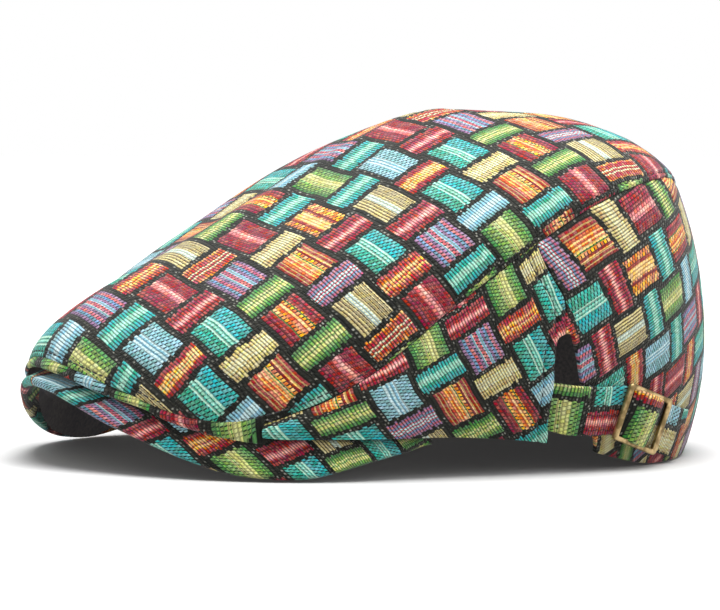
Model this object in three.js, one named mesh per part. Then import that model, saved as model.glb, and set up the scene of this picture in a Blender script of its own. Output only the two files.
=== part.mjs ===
// Flat cap in basket-weave cloth: a large top panel, two wedge side panels, a back panel,
// a peak bent down at its sides, and a size strap with a slide buckle over a rear slit.
// Millimetres. +X the wearer's left, -Y the front, +Z up, the floor at z = 0.
// The crown is laid out by angles in degrees: 0 at the front, positive to the wearer's left,
// 180 at the back, about an upright line through the highest point.
import * as THREE from 'three';

// Driving dimensions
const CLOTH = 2;             // thickness of the crown's cloth
const SEAM_GAP = 0.6;        // upright space between the top panel and the walls
const APEX_Y = 32.3;           // the crown's highest point lies here, on the midline
const APEX_Z = 122.5;        // height of the cap
const APEX_SOFT = 0.2;       // flat share of the apex, so the slopes meet smoothly
const LIP_POWER = 16;        // tightness of the rolled edge at the seam
const LEVEL_EDGE = 0.08;     // share of the top panel over which its cut edge turns level
const SIDE_TIP = 33;         // angle of the side panels' front tips
const PEAK_THICK = 3.6;
const PEAK_END = 60;         // angle of the peak's rear corners
const PEAK_UNDER = 0.5;      // share of the peak's depth hidden under the crown
const STRAP = { width: 17.4, thick: 1.4 };
const BUCKLE = {
  at: 109,                   // angle of its middle
  lift: 2.6,                 // height of its middle above the back panel
  length: 26,
  height: 21.4,
  sideBar: 2.4,
  endBar: 1.3,
  midBar: 1.6,
  thick: 1.6,
  corner: 1.5,
  innerCorner: 0.5,
};
const TAB = { inner: 1.5, outer: 2.2, width: 12 };

// Facets: columns round the crown and the peak, and rows as shares of each surface's depth
const COLUMNS = { top: 64, side: 24, back: 44, peak: 44, strap: 4, arc: 3, loop: 12 };
const TOP_ROWS = [0, 0.14, 0.28, 0.42, 0.55, 0.67, 0.78, 0.87, 0.94, 0.98, 1];
const WALL_ROWS = [0, 0.1, 0.2, 0.32, 0.42, 0.48, 0.52, 0.6, 0.7, 0.8, 0.9, 1];
const PEAK_ROWS = [0, 0.25, PEAK_UNDER, 0.62, 0.75, 0.88, 1];
const STEP = { a: 0.5, v: 0.02 };   // small steps that a surface's slope is measured over

// Crown seam between the top panel and the walls: angle, radius, height
const SEAM = [
  { a: 0, r: 158, z: 33 },
  { a: 15, r: 150.5, z: 24.5 },
  { a: 27, r: 144.5, z: 18.5 },
  { a: 36, r: 135.5, z: 20 },
  { a: 48, r: 122, z: 32.5 },
  { a: 63, r: 105.5, z: 57 },
  { a: 80, r: 96, z: 78 },
  { a: 100, r: 89.5, z: 93.5 },
  { a: 125, r: 85.5, z: 100 },
  { a: 150, r: 82.5, z: 96 },
  { a: 180, r: 83, z: 94 },
];

// Lower edge of the crown, with the outward fullness of the wall above it
const HEM = [
  { a: 0, r: 158, z: 33, full: 0 },
  { a: 15, r: 150.5, z: 24.5, full: 0 },
  { a: 27, r: 144.5, z: 18.5, full: 0 },
  { a: 36, r: 137, z: 14.2, full: 1 },
  { a: 48, r: 123, z: 13.7, full: 2.5 },
  { a: 60, r: 107, z: 13.4, full: 4 },
  { a: 66, r: 100.5, z: 13, full: 4.8 },
  { a: 80, r: 93, z: 11, full: 6.3 },
  { a: 100, r: 89, z: 6.5, full: 8 },
  { a: 125, r: 88, z: 1.6, full: 8.8 },
  { a: 150, r: 87, z: 0.3, full: 8.8 },
  { a: 180, r: 91, z: 0, full: 8.8 },
];

// Rise of the top panel from its seam to the apex: how straight the slope is,
// how round the shoulder is, and the share of the rise made by the rolled edge
const RISE = [
  { a: 0, straight: 1.2, round: 1.04, lip: 0.16 },
  { a: 45, straight: 0.87, round: 0.66, lip: 0.17 },
  { a: 90, straight: 0.3, round: 0.61, lip: 0.05 },
  { a: 135, straight: -0.1, round: 0.69, lip: 0.01 },
  { a: 180, straight: -0.2, round: 0.56, lip: 0.03 },
];

// The peak's upper face: root inside the crown, the line under the crown's edge, the rim
const PEAK = [
  { a: 0, rootR: 118, rootZ: 46, underR: 155.4, underZ: 31.9, rimR: 160.9, rimZ: 30 },
  { a: 15, rootR: 118, rootZ: 43, underR: 148, underZ: 23.4, rimR: 153.2, rimZ: 17 },
  { a: 27, rootR: 116, rootZ: 36, underR: 142, underZ: 17.4, rimR: 146, rimZ: 6 },
  { a: 34, rootR: 113, rootZ: 30, underR: 135.8, underZ: 14.4, rimR: 140.6, rimZ: 2.2 },
  { a: 42, rootR: 109, rootZ: 24.5, underR: 127.2, underZ: 13.2, rimR: 132.6, rimZ: 1.9 },
  { a: 50, rootR: 105, rootZ: 20, underR: 117.3, underZ: 13, rimR: 121.5, rimZ: 7.2 },
  { a: 56, rootR: 101.5, rootZ: 17, underR: 108.3, underZ: 13.2, rimR: 110.8, rimZ: 11 },
  { a: 60, rootR: 99, rootZ: 16, underR: 101.5, underZ: 15, rimR: 103.4, rimZ: 14 },
];

// The left vertical seam and the slit below it, by depth down the wall: angle of the side
// panel's rear edge and of the back panel's front edge
const SLIT = [
  { v: 0, side: 80.2, back: 80.8 },
  { v: 0.2, side: 83, back: 83.6 },
  { v: 0.32, side: 85.3, back: 85.9 },
  { v: 0.48, side: 85.7, back: 86.3 },
  { v: 0.52, side: 84.2, back: 87.3 },
  { v: 0.6, side: 83.6, back: 89 },
  { v: 0.72, side: 83.9, back: 90.4 },
  { v: 0.9, side: 83.7, back: 94.4 },
  { v: 1, side: 84.2, back: 97 },
];

const SEWN_TO = 0.4;         // the right seam runs straight down from this depth

// Middle line of the strap: angle, depth down the wall
const STRAP_PATH = [
  { a: 76, v: 0.832 },
  { a: 84, v: 0.832 },
  { a: 95, v: 0.836 },
  { a: 101, v: 0.832 },
  { a: 109, v: 0.863 },
  { a: 118, v: 0.893 },
  { a: 128, v: 0.908 },
];

// Height of the strap's outer face above the wall's outer face, by distance from the
// buckle's middle: under the side panel, over the slit, under, over and under the bars;
// each run to the next row is cut into so many steps
const STRAP_LIFT = [
  { s: -52, lift: -2.5, steps: 4 },
  { s: -40.5, lift: -2.5, steps: 4 },
  { s: -31.5, lift: 1.9, steps: 8 },
  { s: -9.8, lift: 1.9, steps: 3 },
  { s: -3, lift: 6.7, steps: 2 },
  { s: 3, lift: 6.7, steps: 3 },
  { s: 9.8, lift: 1.9, steps: 7 },
  { s: 30, lift: 1.9, steps: 0 },
];

const CLOTH_LOOK = { color: 0x6f6a50, roughness: 0.92, metalness: 0 };
const BUCKLE_LOOK = { color: 0x9a8455, roughness: 0.38, metalness: 1 };

const DEG = Math.PI / 180;

// Smooth curve through a column of a table, level at both ends
function read(table, key, column, at) {
  const x = Math.min(Math.max(at, table[0][key]), table.at(-1)[key]);
  let i = 0;
  while (i < table.length - 2 && x > table[i + 1][key]) i += 1;
  const slope = (k) => {
    if (k === 0 || k === table.length - 1) return 0;
    return (table[k + 1][column] - table[k - 1][column]) / (table[k + 1][key] - table[k - 1][key]);
  };
  const width = table[i + 1][key] - table[i][key];
  const t = (x - table[i][key]) / width;
  const t2 = t * t;
  const t3 = t2 * t;
  return (2 * t3 - 3 * t2 + 1) * table[i][column]
    + (t3 - 2 * t2 + t) * width * slope(i)
    + (3 * t2 - 2 * t3) * table[i + 1][column]
    + (t3 - t2) * width * slope(i + 1);
}

const spread = (from, to, count) => Array.from({ length: count + 1 }, (_, i) => from + (to - from) * i / count);
const clamp = (x, low, high) => Math.min(Math.max(x, low), high);

// Point at an angle from the front, a radius from the apex line and a height
function polar(a, r, z) {
  return new THREE.Vector3(r * Math.sin(a * DEG), APEX_Y - r * Math.cos(a * DEG), z);
}

// Angle folded to one side, 0 at the front and 180 at the back
function sideAngle(a) {
  const turned = Math.abs(a) % 360;
  return turned > 180 ? 360 - turned : turned;
}

function seamPoint(a) {
  const m = sideAngle(a);
  return polar(a, read(SEAM, 'a', 'r', m), read(SEAM, 'a', 'z', m));
}

function hemPoint(a) {
  const m = sideAngle(a);
  return polar(a, read(HEM, 'a', 'r', m), read(HEM, 'a', 'z', m));
}

// Crown wall: v = 0 at the seam, 1 at the lower edge
function wallPoint(a, v) {
  const outwards = polar(a, 1, 0).sub(polar(a, 0, 0));
  const full = read(HEM, 'a', 'full', sideAngle(a)) * 4 * v * (1 - v);
  return seamPoint(a).lerp(hemPoint(a), v).addScaledVector(outwards, full);
}

// Top panel: f = 0 at the apex, 1 at the seam
function topPoint(a, f) {
  const m = sideAngle(a);
  const straight = read(RISE, 'a', 'straight', m);
  const lip = read(RISE, 'a', 'lip', m);
  const cone = (Math.hypot(f, APEX_SOFT) - APEX_SOFT) / (Math.hypot(1, APEX_SOFT) - APEX_SOFT);
  const drop = (1 - straight) * f * f + straight * cone;
  const shoulder = Math.max(1 - drop, 0) ** read(RISE, 'a', 'round', m);
  const rise = (1 - lip) * shoulder + lip * Math.sqrt(1 - f ** LIP_POWER);
  const edge = seamPoint(a);
  const base = edge.z + SEAM_GAP;
  return new THREE.Vector3(edge.x * f, APEX_Y + (edge.y - APEX_Y) * f, base + (APEX_Z - base) * rise);
}

// Peak's upper face: v = 0 at the root, 1 at the rim
function peakPoint(a, v) {
  const m = sideAngle(a);
  const line = (name) => polar(a, read(PEAK, 'a', `${name}R`, m), read(PEAK, 'a', `${name}Z`, m));
  return v < PEAK_UNDER
    ? line('root').lerp(line('under'), v / PEAK_UNDER)
    : line('under').lerp(line('rim'), (v - PEAK_UNDER) / (1 - PEAK_UNDER));
}

// Unit normal of a surface given by an angle and a depth, pointing out of the crown
function normalAt(surface, a, depth) {
  const v = clamp(depth, STEP.v, 1 - STEP.v);
  const along = surface(a + STEP.a, v).sub(surface(a - STEP.a, v));
  const down = surface(a, v + STEP.v).sub(surface(a, v - STEP.v));
  const normal = along.cross(down).normalize();
  const middle = new THREE.Vector3(0, APEX_Y / 2, APEX_Z / 3);
  return normal.dot(surface(a, v).sub(middle)) < 0 ? normal.negate() : normal;
}

// Wall point lifted off the wall's outer face by a distance, negative for inwards
function wallLifted(a, v, lift) {
  return wallPoint(a, v).addScaledVector(normalAt(wallPoint, a, v), lift);
}

// Closed body between an outer grid of points and an inner one, rows by columns.
// A ring grid closes on itself along its rows; a pole grid has its first row at one point.
function shell(outer, inner, { ring = false, pole = false } = {}) {
  const rows = outer.length;
  const cols = outer[0].length;
  const points = [];
  const number = (grid) => grid.map((line, i) => line.map((p, j) => {
    if (pole && i === 0 && j > 0) return -1;
    points.push(p);
    return points.length - 1;
  }));
  const faces = [];
  const out = number(outer);
  const into = number(inner);
  const at = (grid, i, j) => (pole && i === 0 ? grid[0][0] : grid[i][j % cols]);
  const quad = (a, b, c, d) => {
    if (a !== b && b !== c && a !== c) faces.push(a, b, c);
    if (a !== c && c !== d && a !== d) faces.push(a, c, d);
  };
  const last = ring ? cols : cols - 1;
  for (let j = 0; j < last; j += 1) {
    for (let i = 0; i < rows - 1; i += 1) {
      quad(at(out, i, j), at(out, i + 1, j), at(out, i + 1, j + 1), at(out, i, j + 1));
      quad(at(into, i, j), at(into, i, j + 1), at(into, i + 1, j + 1), at(into, i + 1, j));
    }
    quad(at(out, rows - 1, j), at(into, rows - 1, j), at(into, rows - 1, j + 1), at(out, rows - 1, j + 1));
    if (!pole) quad(at(out, 0, j), at(out, 0, j + 1), at(into, 0, j + 1), at(into, 0, j));
  }
  for (let i = 0; i < rows - 1 && !ring; i += 1) {
    quad(at(out, i, 0), at(into, i, 0), at(into, i + 1, 0), at(out, i + 1, 0));
    quad(at(out, i, last), at(out, i + 1, last), at(into, i + 1, last), at(into, i, last));
  }
  const geometry = new THREE.BufferGeometry();
  geometry.setAttribute('position', new THREE.Float32BufferAttribute(points.flatMap((p) => p.toArray()), 3));
  geometry.setIndex(faces);
  return facingOut(geometry);
}

// Turns the faces round where the body's signed volume is negative
function facingOut(geometry) {
  const place = geometry.getAttribute('position');
  const ids = geometry.getIndex().array;
  const corner = (k) => new THREE.Vector3().fromBufferAttribute(place, ids[k]);
  let volume = 0;
  for (let k = 0; k < ids.length; k += 3) {
    volume += corner(k).dot(corner(k + 1).cross(corner(k + 2)));
  }
  for (let k = 0; k < ids.length && volume < 0; k += 3) {
    [ids[k], ids[k + 1]] = [ids[k + 1], ids[k]];
  }
  geometry.computeVertexNormals();
  return geometry;
}

function mesh(name, geometry, look) {
  const part = new THREE.Mesh(geometry, new THREE.MeshStandardMaterial(look));
  part.name = name;
  return part;
}

// Top panel; its cut edge is level, so that it rests on the seam without meeting the walls
function topPanel() {
  const angles = spread(-180, 180, COLUMNS.top).slice(0, -1);
  const under = (a, f) => {
    if (f === 0) return new THREE.Vector3(0, APEX_Y, APEX_Z - CLOTH);
    const normal = normalAt(topPoint, a, f);
    normal.z *= clamp((1 - STEP.v - f) / LEVEL_EDGE, 0, 1);
    return topPoint(a, f).addScaledVector(normal.normalize(), -CLOTH);
  };
  const outer = TOP_ROWS.map((f) => angles.map((a) => topPoint(a, f)));
  const inner = TOP_ROWS.map((f) => angles.map((a) => under(a, f)));
  return shell(outer, inner, { ring: true, pole: true });
}

// Wall panel between two edges, each an angle given by the depth down the wall
function wallPanel(startAt, endAt, columns) {
  const grid = (lift) => WALL_ROWS.map((v) => spread(0, 1, columns)
    .map((u) => wallLifted(startAt(v) + (endAt(v) - startAt(v)) * u, v, lift)));
  return shell(grid(0), grid(-CLOTH));
}

// Angle of the vertical seam where it has no slit; the right one stays sewn to the hem
const sewnSeam = (column) => (v) => read(SLIT, 'v', column, Math.min(v, SEWN_TO));
const openSeam = (column) => (v) => read(SLIT, 'v', column, v);

const sidePanelLeft = () => wallPanel(() => SIDE_TIP, openSeam('side'), COLUMNS.side);
const sidePanelRight = () => wallPanel(() => -SIDE_TIP, (v) => -sewnSeam('side')(v), COLUMNS.side);
const backPanel = () => wallPanel(openSeam('back'), (v) => 360 - sewnSeam('back')(v), COLUMNS.back);

// Peak
function peak() {
  const across = spread(-PEAK_END, PEAK_END, COLUMNS.peak);
  const inside = (a, v) => {
    const edge = PEAK_END - STEP.a;
    const normal = normalAt(peakPoint, clamp(a, -edge, edge), v);
    return peakPoint(a, v).addScaledVector(normal, -PEAK_THICK);
  };
  const outer = PEAK_ROWS.map((v) => across.map((a) => peakPoint(a, v)));
  const inner = PEAK_ROWS.map((v) => across.map((a) => inside(a, v)));
  return shell(outer, inner);
}

// The strap's middle line on the wall, and the directions along it, across it and outwards
function strapFrame(a) {
  const onLine = (angle) => wallPoint(angle, read(STRAP_PATH, 'a', 'v', angle));
  const v = read(STRAP_PATH, 'a', 'v', a);
  const along = onLine(a + STEP.a).sub(onLine(a - STEP.a)).normalize();
  const out = normalAt(wallPoint, a, v);
  const across = out.clone().cross(along).normalize();
  return { point: onLine(a), v, along, out, across };
}

// Point of the wall a distance across the strap from its middle line, lifted off the wall
function strapPoint(a, distance, lift) {
  const frame = strapFrame(a);
  const perDegree = wallPoint(a + STEP.a, frame.v).sub(wallPoint(a - STEP.a, frame.v))
    .divideScalar(2 * STEP.a);
  const perDepth = wallPoint(a, frame.v + STEP.v).sub(wallPoint(a, frame.v - STEP.v))
    .divideScalar(2 * STEP.v);
  const dd = perDegree.dot(perDegree);
  const dv = perDegree.dot(perDepth);
  const vv = perDepth.dot(perDepth);
  const toD = frame.across.dot(perDegree) * distance;
  const toV = frame.across.dot(perDepth) * distance;
  const scale = dd * vv - dv * dv;
  const stepA = (toD * vv - toV * dv) / scale;
  const stepV = (toV * dd - toD * dv) / scale;
  return wallLifted(a + stepA, frame.v + stepV, lift);
}

// Strap, woven through the buckle
function strap() {
  const ahead = strapFrame(BUCKLE.at + STEP.a).point;
  const mmPerDegree = ahead.distanceTo(strapFrame(BUCKLE.at - STEP.a).point) / (2 * STEP.a);
  const across = spread(-STRAP.width / 2, STRAP.width / 2, COLUMNS.strap);
  const runs = STRAP_LIFT.slice(0, -1).flatMap((row, i) => {
    const next = STRAP_LIFT[i + 1];
    const lifts = spread(row.lift, next.lift, row.steps);
    return spread(row.s, next.s, row.steps).map((s, k) => ({ s, lift: lifts[k] })).slice(i ? 1 : 0);
  });
  const grid = (drop) => runs.map(({ s, lift }) => across
    .map((d) => strapPoint(BUCKLE.at + s / mmPerDegree, d, lift - drop)));
  return shell(grid(0), grid(STRAP.thick));
}

// Rounded rectangle as a shape or a hole
function roundedRectangle(Kind, x0, y0, x1, y1, r) {
  const outline = new Kind();
  outline.moveTo(x0 + r, y0);
  outline.lineTo(x1 - r, y0);
  outline.absarc(x1 - r, y0 + r, r, -Math.PI / 2, 0);
  outline.lineTo(x1, y1 - r);
  outline.absarc(x1 - r, y1 - r, r, 0, Math.PI / 2);
  outline.lineTo(x0 + r, y1);
  outline.absarc(x0 + r, y1 - r, r, Math.PI / 2, Math.PI);
  outline.lineTo(x0, y0 + r);
  outline.absarc(x0 + r, y0 + r, r, Math.PI, Math.PI * 1.5);
  return outline;
}

// Buckle: a flat frame with two windows and a bar between them
function buckle() {
  const halfL = BUCKLE.length / 2;
  const halfH = BUCKLE.height / 2;
  const outline = roundedRectangle(THREE.Shape, -halfL, -halfH, halfL, halfH, BUCKLE.corner);
  for (const side of [-1, 1]) {
    const edges = [side * BUCKLE.midBar / 2, side * (halfL - BUCKLE.sideBar)].sort((p, q) => p - q);
    const window = halfH - BUCKLE.endBar;
    outline.holes.push(roundedRectangle(THREE.Path, edges[0], -window, edges[1], window, BUCKLE.innerCorner));
  }
  const solid = { depth: BUCKLE.thick, bevelEnabled: false, curveSegments: COLUMNS.arc };
  const geometry = new THREE.ExtrudeGeometry(outline, solid);
  geometry.translate(0, 0, -BUCKLE.thick / 2);
  return geometry;
}

// Tab: a plain cloth loop round the buckle's hidden middle bar
function buckleTab() {
  const ring = new THREE.Shape().absarc(0, 0, TAB.outer, 0, Math.PI * 2);
  ring.holes.push(new THREE.Path().absarc(0, 0, TAB.inner, 0, Math.PI * 2, true));
  const solid = { depth: TAB.width, bevelEnabled: false, curveSegments: COLUMNS.loop };
  const geometry = new THREE.ExtrudeGeometry(ring, solid);
  geometry.translate(0, 0, -TAB.width / 2);
  return geometry.rotateX(Math.PI / 2);
}

// The buckle and its tab stand in one frame, laid on the back panel along the strap
function buckleFrame() {
  const frame = strapFrame(BUCKLE.at);
  const place = new THREE.Matrix4().makeBasis(frame.along, frame.across, frame.out);
  place.setPosition(frame.point.addScaledVector(frame.out, BUCKLE.lift));
  const group = new THREE.Group();
  group.applyMatrix4(place);
  group.add(mesh('buckle', buckle(), BUCKLE_LOOK));
  group.add(mesh('buckle_tab', buckleTab(), CLOTH_LOOK));
  return group;
}

const cap = new THREE.Group();
cap.add(mesh('top_panel', topPanel(), CLOTH_LOOK));
cap.add(mesh('side_panel_left', sidePanelLeft(), CLOTH_LOOK));
cap.add(mesh('side_panel_right', sidePanelRight(), CLOTH_LOOK));
cap.add(mesh('back_panel', backPanel(), CLOTH_LOOK));
cap.add(mesh('peak', peak(), CLOTH_LOOK));
cap.add(mesh('strap', strap(), CLOTH_LOOK));
cap.add(buckleFrame());

export default cap;
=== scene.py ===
import math

import bpy
import numpy as np
from mathutils import Matrix, Vector


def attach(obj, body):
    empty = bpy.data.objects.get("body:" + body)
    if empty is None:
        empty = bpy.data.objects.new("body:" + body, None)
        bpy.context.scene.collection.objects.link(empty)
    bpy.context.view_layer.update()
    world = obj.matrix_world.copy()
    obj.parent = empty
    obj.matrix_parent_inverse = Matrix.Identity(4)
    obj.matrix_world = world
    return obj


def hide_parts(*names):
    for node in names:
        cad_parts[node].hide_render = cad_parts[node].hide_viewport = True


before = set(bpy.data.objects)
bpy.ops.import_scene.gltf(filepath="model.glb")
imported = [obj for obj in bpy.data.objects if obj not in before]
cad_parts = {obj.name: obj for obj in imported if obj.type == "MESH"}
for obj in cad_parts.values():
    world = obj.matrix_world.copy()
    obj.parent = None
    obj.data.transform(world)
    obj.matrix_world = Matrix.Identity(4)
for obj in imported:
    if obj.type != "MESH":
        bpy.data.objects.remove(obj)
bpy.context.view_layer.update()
MM = 0.001

# Shape of the cap as in its CAD source, in millimetres and degrees
CLOTH = 2.0
SEAM_GAP = 0.1
APEX_Y = 32.3
APEX_Z = 122.5
APEX_SOFT = 0.2
LIP_POWER = 16
SEAM = {
    "a": [0, 15, 27, 36, 48, 63, 80, 100, 125, 150, 180],
    "r": [158, 150.5, 144.5, 135.5, 122, 105.5, 96, 89.5, 85.5, 82.5, 83],
    "z": [33, 24.5, 18.5, 20, 32.5, 57, 78, 93.5, 100, 96, 94],
}
HEM = {
    "a": [0, 15, 27, 36, 48, 60, 66, 80, 100, 125, 150, 180],
    "r": [158, 150.5, 144.5, 137, 123, 107, 100.5, 93, 89, 88, 87, 91],
    "z": [33, 24.5, 18.5, 14.2, 13.7, 13.4, 13, 11, 6.5, 1.6, 0.3, 0],
    "full": [0, 0, 0, 1, 2.5, 4, 4.8, 6.3, 8, 8.8, 8.8, 8.8],
}
RISE = {
    "a": [0, 45, 90, 135, 180],
    "straight": [1.2, 0.87, 0.3, -0.1, -0.2],
    "round": [1.04, 0.66, 0.61, 0.69, 0.56],
    "lip": [0.16, 0.17, 0.05, 0.01, 0.03],
}
PEAK = {
    "a": [0, 15, 27, 34, 42, 50, 56, 60],
    "rootR": [118, 118, 116, 113, 109, 105, 101.5, 99],
    "rootZ": [46, 43, 36, 30, 24.5, 20, 17, 16],
    "underR": [155.4, 148, 142, 135.8, 127.2, 117.3, 108.3, 101.5],
    "underZ": [31.9, 23.4, 17.4, 14.4, 13.2, 13, 13.2, 15],
    "rimR": [160.9, 153.2, 146, 140.6, 132.6, 121.5, 110.8, 103.4],
    "rimZ": [30, 17, 6, 2.2, 1.9, 7.2, 11, 14],
}
PEAK_THICK = 3.6
PEAK_END = 59.5
PEAK_UNDER = 0.5

# Millimetres to a degree, round the top panel's edge and round the wall
TOP_DEGREE = 2.4
WALL_DEGREE = 1.687

# Edges of the side and back panels at the vertical seam, which is open below on the left
SLIT = {
    "v": [0, 0.2, 0.32, 0.485, 0.49, 0.5, 0.52, 0.6, 0.72, 0.9, 1],
    "side": [80.45, 83.25, 85.55, 85.85, 84.8, 84.3, 84, 83.6, 83.9, 83.7, 84.2],
    "back": [80.55, 83.35, 85.65, 86.15, 87.1, 87.6, 87.9, 89, 90.6, 94.7, 97.3],
}
SEWN_TO = 0.4
LEFT_SEAM = 80

# Strap and buckle
STRAP_WIDTH = 17.4
STRAP_THICK = 1.4
STRAP_RUN = (-52, 30)
STRAP_PATH = {
    "a": [76, 84, 95, 101, 109, 118, 128],
    "v": [0.832, 0.832, 0.836, 0.832, 0.863, 0.893, 0.908],
}
STRAP_LIFT = {
    "s": [-52, -40.5, -31.5, -9.8, -3, 3, 9.8, 30],
    "lift": [-2.5, -2.5, 1.9, 1.9, 5.6, 5.6, 1.9, 1.9],
}
BUCKLE_AT = 109.0
BUCKLE_AHEAD = 2.6
BUCKLE_PITCH = 5.0
BUCKLE_LIFT = 2.6
BUCKLE_SIZE = (26.0, 20.4)
BUCKLE_THICK = 1.6
BUCKLE_CORNER = 1.7
BUCKLE_ROUND = 0.5
SHARP_ANGLE = 40
BAR_SIDE = 2.4
BAR_END = 1.8
BAR_MIDDLE = 1.6
TAB_WIDTH = 12
TAB_RADII = (2.2, 1.5)


# Shapes
def read(table, key, column, at):
    """Smooth curve through a column of a table, level at both ends."""
    x = np.asarray(table[key], float)
    y = np.asarray(table[column], float)
    slope = np.zeros(len(x))
    slope[1:-1] = (y[2:] - y[:-2]) / (x[2:] - x[:-2])
    at = np.clip(np.asarray(at, float), x[0], x[-1])
    i = np.clip(np.searchsorted(x, at) - 1, 0, len(x) - 2)
    width = x[i + 1] - x[i]
    t = (at - x[i]) / width
    return (
        (2 * t**3 - 3 * t**2 + 1) * y[i]
        + (t**3 - 2 * t**2 + t) * width * slope[i]
        + (3 * t**2 - 2 * t**3) * y[i + 1]
        + (t**3 - t**2) * width * slope[i + 1]
    )


def rising(value, start, length):
    """0 up to start and 1 from start + length, in a straight line between."""
    return np.clip((value - start) / length, 0, 1)


def hump(value, height, width):
    """The height at zero, falling off on both sides over about the width."""
    return height * np.exp(-((value / width) ** 2))


def unit(vectors):
    """Vectors of length one."""
    return vectors / np.linalg.norm(vectors, axis=-1, keepdims=True)


def side_angle(a):
    """Angle from the front, the same for both sides of the cap."""
    turned = np.abs(a) % 360
    return np.where(turned > 180, 360 - turned, turned)


def outwards(a):
    """Level direction out of the cap at an angle."""
    t = np.radians(a)
    return np.stack([np.sin(t), -np.cos(t), 0 * t], -1)


def polar(a, r, z):
    """Point at a radius and height, the angle counted from the front towards the wearer's left."""
    place = outwards(a) * np.asarray(r)[..., None]
    place[..., 1] += APEX_Y
    place[..., 2] = z
    return place


def seam_point(a):
    """Where the top panel meets the wall."""
    m = side_angle(a)
    return polar(a, read(SEAM, "a", "r", m), read(SEAM, "a", "z", m))


def hem_point(a):
    """Lower edge of the wall."""
    m = side_angle(a)
    return polar(a, read(HEM, "a", "r", m), read(HEM, "a", "z", m))


def wall_point(a, v):
    """Crown wall: v is 0 at the seam and 1 at the lower edge."""
    share = np.asarray(v, float)[..., None]
    full = read(HEM, "a", "full", side_angle(a))[..., None] * 4 * share * (1 - share)
    return seam_point(a) * (1 - share) + hem_point(a) * share + outwards(a) * full


def top_point(a, f):
    """Top panel: f is 0 at the apex and 1 at the seam."""
    m = side_angle(a)
    straight = read(RISE, "a", "straight", m)
    lip = read(RISE, "a", "lip", m)
    cone = (np.hypot(f, APEX_SOFT) - APEX_SOFT) / (np.hypot(1, APEX_SOFT) - APEX_SOFT)
    drop = (1 - straight) * f * f + straight * cone
    shoulder = np.clip(1 - drop, 0, None) ** read(RISE, "a", "round", m)
    rise = (1 - lip) * shoulder + lip * np.sqrt(np.clip(1 - f**LIP_POWER, 0, None))
    edge = seam_point(a)
    base = edge[..., 2] + SEAM_GAP
    x = edge[..., 0] * f
    y = APEX_Y + (edge[..., 1] - APEX_Y) * f
    return np.stack([x, y, base + (APEX_Z - base) * rise], -1)


def peak_point(a, v):
    """Upper face of the peak: v is 0 at its root and 1 at its rim."""
    m = side_angle(a)
    v = np.asarray(v, float)
    root, under, rim = (
        polar(a, read(PEAK, "a", name + "R", m), read(PEAK, "a", name + "Z", m))
        for name in ("root", "under", "rim")
    )
    inner = (v / PEAK_UNDER)[..., None]
    outer = ((v - PEAK_UNDER) / (1 - PEAK_UNDER))[..., None]
    hidden = root * (1 - inner) + under * inner
    shown = under * (1 - outer) + rim * outer
    return np.where((v < PEAK_UNDER)[..., None], hidden, shown)


def normals(surface, a, v):
    """Unit normals of a surface, pointing out of the crown."""
    v = np.clip(v, 0.02, 0.98)
    along = surface(a + 0.5, v) - surface(a - 0.5, v)
    down = surface(a, v + 0.02) - surface(a, v - 0.02)
    normal = unit(np.cross(along, down))
    middle = np.array([0, APEX_Y / 2, APEX_Z / 3])
    inward = (normal * (surface(a, v) - middle)).sum(-1, keepdims=True) < 0
    return np.where(inward, -normal, normal)


def run_along(points, axis):
    """Distance run along one axis of a grid of points."""
    steps = np.linalg.norm(np.diff(points, axis=axis), axis=-1)
    start = np.zeros_like(np.take(steps, [0], axis))
    return np.concatenate([start, np.cumsum(steps, axis)], axis)


def waves(x, y, size, seed):
    """Soft unevenness from a few long sine waves."""
    total = 0
    for k in range(5):
        turn = seed * 1.7 + k * 2.399
        pitch = size * (0.75 + 0.22 * k)
        phase = seed * 3.1 + k * 1.3
        total = total + np.sin((x * math.cos(turn) + y * math.sin(turn)) * 2 * math.pi / pitch + phase)
    return total / 5


# Meshes
def signed_volume(mesh):
    """Six times the volume, and negative where the faces point inwards."""
    mesh.calc_loop_triangles()
    triangles = np.array([t.vertices[:] for t in mesh.loop_triangles])
    points = np.array([v.co[:] for v in mesh.vertices])
    a, b, c = (points[triangles[:, k]] for k in range(3))
    return float((a * np.cross(b, c)).sum())


def new_piece(name, points, faces, wrong_side=None, weave=None):
    """A closed mesh from points in millimetres, its faces turned outwards."""
    mesh = bpy.data.meshes.new(name)
    mesh.from_pydata((np.asarray(points) * MM).tolist(), [], faces)
    if wrong_side is not None:
        mesh.polygons.foreach_set("material_index", np.array(wrong_side, np.int32))
    if weave is not None:
        corner = np.zeros(len(mesh.loops), np.int32)
        mesh.loops.foreach_get("vertex_index", corner)
        layer = mesh.uv_layers.new(name="weave")
        layer.data.foreach_set("uv", weave[corner].astype(np.float32).ravel())
    mesh.update()
    piece = bpy.data.objects.new(name, mesh)
    bpy.context.scene.collection.objects.link(piece)
    if signed_volume(mesh) < 0:
        mesh.flip_normals()
    return piece


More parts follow.
